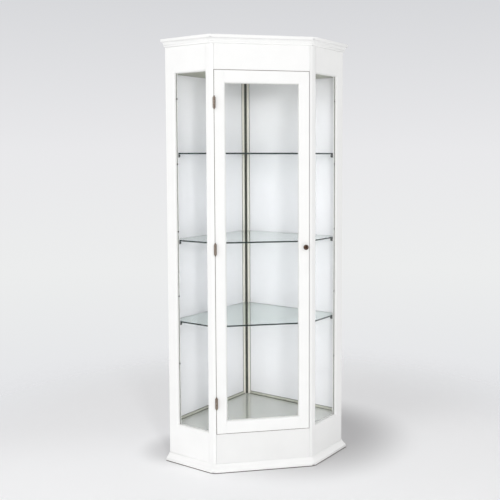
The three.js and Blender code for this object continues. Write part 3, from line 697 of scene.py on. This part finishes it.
class CABINET_OT_back(bpy.types.Operator):
    """Make the back panels, their beads and the slotted strip"""
    bl_idname = "cabinet.back"
    bl_label = "Back and corner strip"

    def execute(self, context):
        paint(["back_panel_left", "back_panel_right"], "melamine_back_board")
        sizes = context.scene.cabinet_sizes
        for side, turn in WALL_TURNS.items():
            # The foot bead's olive grey is painted shade.
            for bead, coat in (("back_corner_bead", "sprayed_cream_lacquer"),
                               ("back_foot_bead", "olive_lacquer_painted_shade")):
                eased_copy(f"{bead}_{side}", "carcass", coat, sizes.bead_ease)
            self.fill_joints(side, turn, sizes.bead_joint)
        paint(["corner_standard"], "blackened_strip_steel")
        bm = merged_copy("back_corner_post")
        for face in bm.faces:
            # The flat behind the slotted strip is painted black, as painted shade, so that the
            # slots show dark.
            face.material_index = int(face.normal.y < -0.9)
        shade(bm, BOARD_CREASE)
        make_piece(bm, "back_corner_post_finished", "carcass",
                   ["sprayed_satin_lacquer", "black_lacquer_painted_shade"], ["back_corner_post"])
        return {"FINISHED"}

    def fill_joints(self, side, turn, width):
        """Olive filler along a wall's beads, painted shade for the shadow lines there: beside the
        upright one, round the low one.
        """
        low, high = turned_box(f"back_corner_bead_{side}", turn)
        foot_low, foot_high = turned_box(f"back_foot_bead_{side}", turn)
        inner = low.x - width if side == "left" else high.x
        front, back = high.y - JOINT_PROUD, high.y + JOINT_DEEP
        bm = bmesh.new()
        for near, far in (
            ((inner, front, foot_high.z), (inner + width, back, high.z)),
            ((foot_low.x, front, foot_high.z), (foot_high.x, back, foot_high.z + width)),
            ((foot_low.x, foot_low.y - width / 2, foot_low.z),
             (foot_high.x, foot_low.y + JOINT_DEEP, foot_low.z + width)),
        ):
            add_block(bm, near, far, THIN_EASE)
        turn_all(bm, turn)
        shade(bm, BLOCK_CREASE)
        make_piece(bm, f"bead_joints_{side}", "carcass", ["joint_filler_painted_shade"])


class CABINET_OT_door_frame(bpy.types.Operator):
    """Make the stiles and rails of the door"""
    bl_idname = "cabinet.door_frame"
    bl_label = "Door frame"

    def execute(self, context):
        for part in ("door_stile_left", "door_stile_right", "door_rail_top", "door_rail_bottom"):
            eased_copy(part, "door", "sprayed_satin_lacquer",
                       context.scene.cabinet_sizes.edge_ease)
        return {"FINISHED"}


class CABINET_OT_gap_seal(bpy.types.Operator):
    """Lay the dark seal in the gap round the door, painted shade for the gap's shadow"""
    bl_idname = "cabinet.gap_seal"
    bl_label = "Seal round the door"

    def execute(self, context):
        sizes = context.scene.cabinet_sizes
        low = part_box("door_stile_left")[0]
        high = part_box("door_stile_right")[1]
        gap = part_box("front_frieze")[0].z - high.z
        thickness = gap - 2 * GAP_CLEAR
        front = low.y + sizes.gap_seal_set_back
        back = front + sizes.gap_seal_depth
        bm = bmesh.new()
        for foot in (low.z - gap + GAP_CLEAR, high.z + GAP_CLEAR):
            add_block(bm, (low.x, front, foot), (high.x, back, foot + thickness), SOFT_EASE)
        # The upright run stops short of each hinge.
        stops = [low.z - gap]
        for place in HINGES:
            leaf_low, leaf_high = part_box(f"hinge_{place}_post_leaf")
            stops += [leaf_low.z - MM, leaf_high.z + MM]
        stops.append(high.z + gap)
        for start, stop in zip(stops[::2], stops[1::2]):
            add_block(bm, (low.x - gap + GAP_CLEAR, front, start),
                      (low.x - GAP_CLEAR, back, stop), SOFT_EASE)
        shade(bm, BLOCK_CREASE)
        make_piece(bm, "door_gap_seal_painted_shade", "carcass", ["painted_shade_gap_seal"])
        return {"FINISHED"}


class CABINET_OT_panes(bpy.types.Operator):
    """Glaze the door and the sides: panes, seals, gaskets and brads"""
    bl_idname = "cabinet.panes"
    bl_label = "Panes and seals"

    def execute(self, context):
        sizes = context.scene.cabinet_sizes
        paint(PANE_TURNS, "clear_float_glass")
        for node, turn in PANE_TURNS.items():
            place = node.replace("_glass", "")
            body = "door" if place == "door" else "carcass"
            low, high = turned_box(node, turn)
            edge_low = (low.x + PANE_HOLD, low.z + PANE_HOLD)
            edge_high = (high.x - PANE_HOLD, high.z - PANE_HOLD)
            hole_low = [edge + sizes.seal_width for edge in edge_low]
            hole_high = [edge - sizes.seal_width for edge in edge_high]
            bm = bmesh.new()
            for front, back in ((low.y - sizes.seal_depth, low.y - PANE_CLEAR),
                                (high.y + PANE_CLEAR, high.y + sizes.seal_depth)):
                add_ring(bm, edge_low, edge_high, hole_low, hole_high, front, back, SOFT_EASE)
            turn_all(bm, turn)
            shade(bm, BLOCK_CREASE)
            make_piece(bm, f"{place}_glazing_seal", body, ["pvc_glazing_seal"])
            if body == "carcass":
                left = place == "side_left"
                rear_x = hole_low[0] if left else hole_high[0] - sizes.gasket_width
                corner = Vector((rear_x, low.y - PANE_CLEAR, edge_low[1]))
                self.fit_gasket(place, turn, corner, edge_high[1], sizes)
        return {"FINISHED"}

    def fit_gasket(self, place, turn, corner, high_z, sizes):
        """The dark gasket along the rear edge of a side pane, partly painted shade for the shadow
        line there, with the brads that hold it.
        """
        front_y = corner.y - sizes.seal_depth
        bm = bmesh.new()
        add_block(bm, (corner.x, front_y, corner.z),
                  (corner.x + sizes.gasket_width, corner.y, high_z), SOFT_EASE)
        turn_all(bm, turn)
        shade(bm, BLOCK_CREASE)
        make_piece(bm, f"{place}_rear_gasket", "carcass", ["rear_gasket_painted_shade"])
        r = sizes.brad_radius / MM
        head = [(0, 0.7), (r * 0.5, 0.6), (r * 0.85, 0.35), (r, 0), (r * 0.9, -0.2), (0, -0.2)]
        floor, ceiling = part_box("floor_glass")[1].z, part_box("ceiling_board")[0].z
        onto_pane = BRAD_ONTO_PANE if place == "side_left" else -BRAD_ONTO_PANE
        x = corner.x + sizes.gasket_width / 2 + onto_pane
        bm = bmesh.new()
        for share in BRAD_SHARES:
            centre = (x, front_y, floor + share * (ceiling - floor))
            add_turned_shape(bm, head, Matrix.Translation(centre) @ TO_FRONT, 16)
        turn_all(bm, turn)
        shade(bm, HEAD_CREASE)
        make_piece(bm, f"{place}_brads", "carcass", ["blackened_steel"])


class CABINET_OT_shelves(bpy.types.Operator):
    """Make the glass shelves, the glass plate on the floor and the shelf pins"""
    bl_idname = "cabinet.shelves"
    bl_label = "Shelves and pins"

    def execute(self, context):
        sizes = context.scene.cabinet_sizes
        plates = [(shelf, "shelf_float_glass") for shelf in SHELVES]
        plates.append(("floor_glass", "float_glass_on_board"))
        for node, glass in plates:
            bm = merged_copy(node)
            ease_edges(bm, sizes.glass_arris, 5 * MM, 1)
            for face in bm.faces:
                if abs(face.normal.z) < 0.9:
                    face.material_index = 1 if face.normal.y < 0.1 else 2
            shade(bm, GLASS_CREASE)
            make_piece(bm, f"{node}_polished", "carcass",
                       [glass, "polished_shelf_edge", "ground_rear_edge"], [node])
        for node in [name for name in NODES if name.startswith("shelf_pin_")]:
            eased_copy(node, "carcass", "blackened_steel", 0.0, crease=PIN_CREASE)
        for shelf in SHELVES:
            self.sleeve_pins(shelf, sizes.sleeve_radius)
        return {"FINISHED"}

    def sleeve_pins(self, shelf, radius):
        """Soft sleeves on a shelf's pins, hung a little low, so that the glass lies on them."""
        r, end = radius / MM, SLEEVE_LENGTH
        profile = [(0, 0), (r - 0.8, 0), (r - 0.25, 0.25), (r, 0.8),
                   (r, end - 0.8), (r - 0.25, end - 0.25), (r - 0.8, end), (0, end)]
        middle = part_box(shelf)[0].z - radius
        bm = bmesh.new()
        for side in SIDES:
            turn = PANE_TURNS[f"side_glass_{side}"]
            for place in ("front", "rear"):
                low, high = turned_box(f"{shelf.replace('_', '_pin_')}_{place}_{side}", turn)
                start = ((low.x + high.x) / 2, high.y - (end + PIN_REVEAL) * MM, middle)
                facing = Matrix.Rotation(turn, 4, "Z") @ Matrix.Translation(start) @ TO_BACK
                add_turned_shape(bm, profile, facing, 32)
        shade(bm, HEAD_CREASE)
        make_piece(bm, f"{shelf}_pin_sleeves", "carcass", ["pvc_pin_sleeve"])


class CABINET_OT_hinges(bpy.types.Operator):
    """Make the butt hinges with their turned pins and slotted screws"""
    bl_idname = "cabinet.hinges"
    bl_label = "Hinges"

    def execute(self, context):
        sizes = context.scene.cabinet_sizes
        for place in HINGES:
            for leaf, body, facing in (("post_leaf", "carcass", 1), ("door_leaf", "door", -1)):
                node = f"hinge_{place}_{leaf}"
                eased_copy(node, body, "antique_bronze_plate", sizes.metal_ease,
                           shortest=8 * MM)
                self.fit_screws(node, body, facing, sizes.screw_radius)
            self.turn_pin(f"hinge_{place}_pin")
        return {"FINISHED"}

    def fit_screws(self, node, body, facing, radius):
        """Three screws on the flat of a leaf, with their heads in the gap between the leaves."""
        low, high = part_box(node)
        outermost = max if facing > 0 else min
        flat = [v.co for v in NODES[node].data.vertices if v.co.y > high.y - 0.5 * MM]
        face_x = outermost(co.x for co in flat)
        turn = Matrix.Rotation(facing * radians(90), 4, "Y")
        middle, third = (low.z + high.z) / 2, (high.z - low.z) / 3
        bm = bmesh.new()
        for row, set_back in SCREWS:
            centre = (face_x, high.y - set_back * MM, middle + row * third)
            add_slotted_screw(bm, radius, Matrix.Translation(centre) @ turn)
        shade(bm, SCREW_CREASE)
        make_piece(bm, f"{node}_screws", body, ["antique_bronze_plate"])

    def turn_pin(self, node):
        """A loose pin with a stepped collar and a pointed finial at each end."""
        low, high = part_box(node)
        half = (high.z - low.z) / 2 / MM
        upper = [(radius, half - below) for radius, below in FINIAL]
        lower = [(radius, -height) for radius, height in reversed(upper)]
        bm = bmesh.new()
        add_turned_shape(bm, lower + upper, Matrix.Translation((low + high) / 2), 32)
        shade(bm, BLOCK_CREASE)
        make_piece(bm, f"{node}_turned", "carcass", ["antique_bronze_plate"],
                   [node])


class CABINET_OT_knob(bpy.types.Operator):
    """Turn the door knob with its rose"""
    bl_idname = "cabinet.knob"
    bl_label = "Knob"

    def execute(self, context):
        low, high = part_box("door_knob")
        foot = ((low.x + high.x) / 2, high.y, (low.z + high.z) / 2)
        bm = bmesh.new()
        add_turned_shape(bm, KNOB, Matrix.Translation(foot) @ TO_FRONT, 64)
        shade(bm, BLOCK_CREASE)
        make_piece(bm, "door_knob_turned", "door", ["rubbed_dark_bronze"],
                   ["door_knob"])
        return {"FINISHED"}


class CABINET_OT_catch(bpy.types.Operator):
    """Fit the magnetic catch under the ceiling and its plate on the door"""
    bl_idname = "cabinet.catch"
    bl_label = "Magnetic catch"

    def execute(self, context):
        width = context.scene.cabinet_sizes.catch_width
        height, depth, plate, gap = 11 * MM, 15 * MM, 1.2 * MM, 0.4 * MM
        pole_rise, pole_half = 2.6 * MM, 0.9 * MM
        door_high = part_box("door_rail_top")[1]
        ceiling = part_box("ceiling_board")[0].z
        x, middle = door_high.x - 60 * MM, ceiling - height / 2
        front = door_high.y + plate + gap
        bm = bmesh.new()
        add_block(bm, (x - width / 2, front, ceiling - height),
                  (x + width / 2, front + depth, ceiling), 1.5 * MM)
        shade(bm, SCREW_CREASE)
        make_piece(bm, "catch_body", "carcass", ["moulded_abs_catch"])
        bm = bmesh.new()
        for z in (middle - pole_rise, middle + pole_rise):
            add_block(bm, (x - 0.3 * width, front - 0.5 * MM, z - pole_half),
                      (x + 0.3 * width, front + 0.3 * MM, z + pole_half), THIN_EASE)
        shade(bm, SCREW_CREASE)
        make_piece(bm, "catch_poles", "carcass", ["blackened_steel"])
        bm = bmesh.new()
        add_block(bm, (x - 0.45 * width, door_high.y, middle - 6 * MM),
                  (x + 0.45 * width, door_high.y + plate, middle + 6 * MM), SOFT_EASE)
        centre = (x, door_high.y + plate, middle)
        add_slotted_screw(bm, 2 * MM, Matrix.Translation(centre) @ TO_BACK)
        shade(bm, SCREW_CREASE)
        make_piece(bm, "catch_strike_plate", "door", ["blackened_steel"])
        return {"FINISHED"}


class CABINET_OT_stage(bpy.types.Operator):
    """Set the floor, the soft light and the camera"""
    bl_idname = "cabinet.stage"
    bl_label = "Stage"

    def execute(self, context):
        scene = context.scene
        self.lay_floor(scene)
        self.light_world(scene)
        for lamp in LAMPS:
            self.hang_lamp(scene, *lamp)
        self.place_camera(scene)
        scene.view_settings.view_transform = "Standard"
        return {"FINISHED"}

    def hang_lamp(self, scene, name, place, size, power, mirrored):
        """A square soft box that faces the cabinet, and that the panes mirror or not."""
        lamp = bpy.data.lights.new(name, "AREA")
        lamp.size = size
        lamp.energy = power
        lamp.spread = LAMP_SPREAD
        holder = bpy.data.objects.new(name, lamp)
        holder.location = place
        holder.rotation_euler = (LAMP_AIM - Vector(place)).to_track_quat("-Z", "Y").to_euler()
        holder.visible_glossy = mirrored
        holder.visible_transmission = mirrored
        scene.collection.objects.link(holder)

    def place_camera(self, scene):
        """The camera of the main view, with depth of field off."""
        camera = bpy.data.cameras.new("photo_camera")
        camera.sensor_width = CAMERA_SENSOR
        camera.lens = CAMERA_LENS
        camera.shift_x, camera.shift_y = CAMERA_SHIFT
        camera.dof.use_dof = False
        holder = bpy.data.objects.new("photo_camera", camera)
        holder.location = CAMERA_PLACE
        holder.rotation_euler = (radians(90 - CAMERA_TILT), 0, radians(CAMERA_TURN))
        scene.collection.objects.link(holder)
        scene.camera = holder

    def lay_floor(self, scene):
        """A round floor sheet."""
        bm = bmesh.new()
        bmesh.ops.create_circle(bm, cap_ends=True, radius=FLOOR_RADIUS, segments=96)
        mesh = bpy.data.meshes.new("studio_floor")
        bm.to_mesh(mesh)
        bm.free()
        mesh.materials.append(finish("studio_floor"))
        floor = bpy.data.objects.new("studio_floor", mesh)
        scene.collection.objects.link(floor)

    def light_world(self, scene):
        """Even white light, with a pale backdrop for what the camera, gloss and glass see."""
        world = bpy.data.worlds.new("studio_world")
        world.use_nodes = True
        scene.world = world
        tree = world.node_tree
        place = add_node(tree, "TexCoord")
        split = add_node(tree, "SeparateXYZ", {"Vector": place.outputs["Generated"]})
        low, high = BACKDROP_SPAN
        share = add_node(tree, "MapRange", {
            "Value": split.outputs["Z"], "From Min": low, "From Max": high,
        })
        ramp = add_node(tree, "ValToRGB", {"Fac": share.outputs["Result"]})
        for i, (stop, tone) in enumerate(BACKDROP_TONES):
            element = ramp.color_ramp.elements[i] if i < 2 else ramp.color_ramp.elements.new(stop)
            element.position = stop
            element.color = (*linear(tone), 1)
        light = tree.nodes["Background"]
        light.inputs["Color"].default_value = (1, 1, 1, 1)
        light.inputs["Strength"].default_value = WORLD_STRENGTH
        rays = add_node(tree, "LightPath")
        # Through a pane, a lit surface gets more from the backdrop than the camera sees of it.
        lit = add_node(tree, "Math", {0: rays.outputs["Diffuse Depth"], 1: 1.0},
                       operation="MINIMUM")
        strength = add_node(tree, "Math", {0: lit.outputs[0], 1: THROUGH_GLASS, 2: 1.0},
                            operation="MULTIPLY_ADD")
        backdrop = add_node(tree, "Background", {
            "Color": ramp.outputs["Color"], "Strength": strength.outputs[0],
        })
        seen = add_node(tree, "Math", {
            0: rays.outputs["Is Camera Ray"], 1: rays.outputs["Is Glossy Ray"],
        }, operation="MAXIMUM")
        seen = add_node(tree, "Math", {0: seen.outputs[0], 1: rays.outputs["Is Transmission Ray"]},
                        operation="MAXIMUM")
        both = add_node(tree, "MixShader", {
            0: seen.outputs[0], 1: light.outputs["Background"], 2: backdrop.outputs["Background"],
        })
        tree.links.new(both.outputs["Shader"], tree.nodes["World Output"].inputs["Surface"])


OPERATORS = (
    CABINET_OT_finishes,
    CABINET_OT_wooden_frame,
    CABINET_OT_mouldings,
    CABINET_OT_back,
    CABINET_OT_door_frame,
    CABINET_OT_gap_seal,
    CABINET_OT_panes,
    CABINET_OT_shelves,
    CABINET_OT_hinges,
    CABINET_OT_knob,
    CABINET_OT_catch,
    CABINET_OT_stage,
)


class CABINET_PT_panel(bpy.types.Panel):
    """Lists the steps of the cabinet"""
    bl_label = "Corner display cabinet"
    bl_idname = "CABINET_PT_panel"
    bl_space_type = "VIEW_3D"
    bl_region_type = "UI"
    bl_category = "Cabinet"

    def draw(self, context):
        layout = self.layout
        for operator in OPERATORS:
            layout.operator(operator.bl_idname)
        for group in (context.scene.cabinet_sizes, context.scene.cabinet_finishes):
            box = layout.box()
            for name in group.__annotations__:
                box.prop(group, name)


CLASSES = (CabinetSizes, CabinetFinishes, *OPERATORS, CABINET_PT_panel)


def register():
    for kind in CLASSES:
        bpy.utils.register_class(kind)
    bpy.types.Scene.cabinet_sizes = PointerProperty(type=CabinetSizes)
    bpy.types.Scene.cabinet_finishes = PointerProperty(type=CabinetFinishes)


def unregister():
    del bpy.types.Scene.cabinet_finishes
    del bpy.types.Scene.cabinet_sizes
    for kind in reversed(CLASSES):
        bpy.utils.unregister_class(kind)


def main():
    register()
    for operator in OPERATORS:
        group, name = operator.bl_idname.split(".")
        getattr(getattr(bpy.ops, group), name)()


if __name__ == "__main__":
    main()
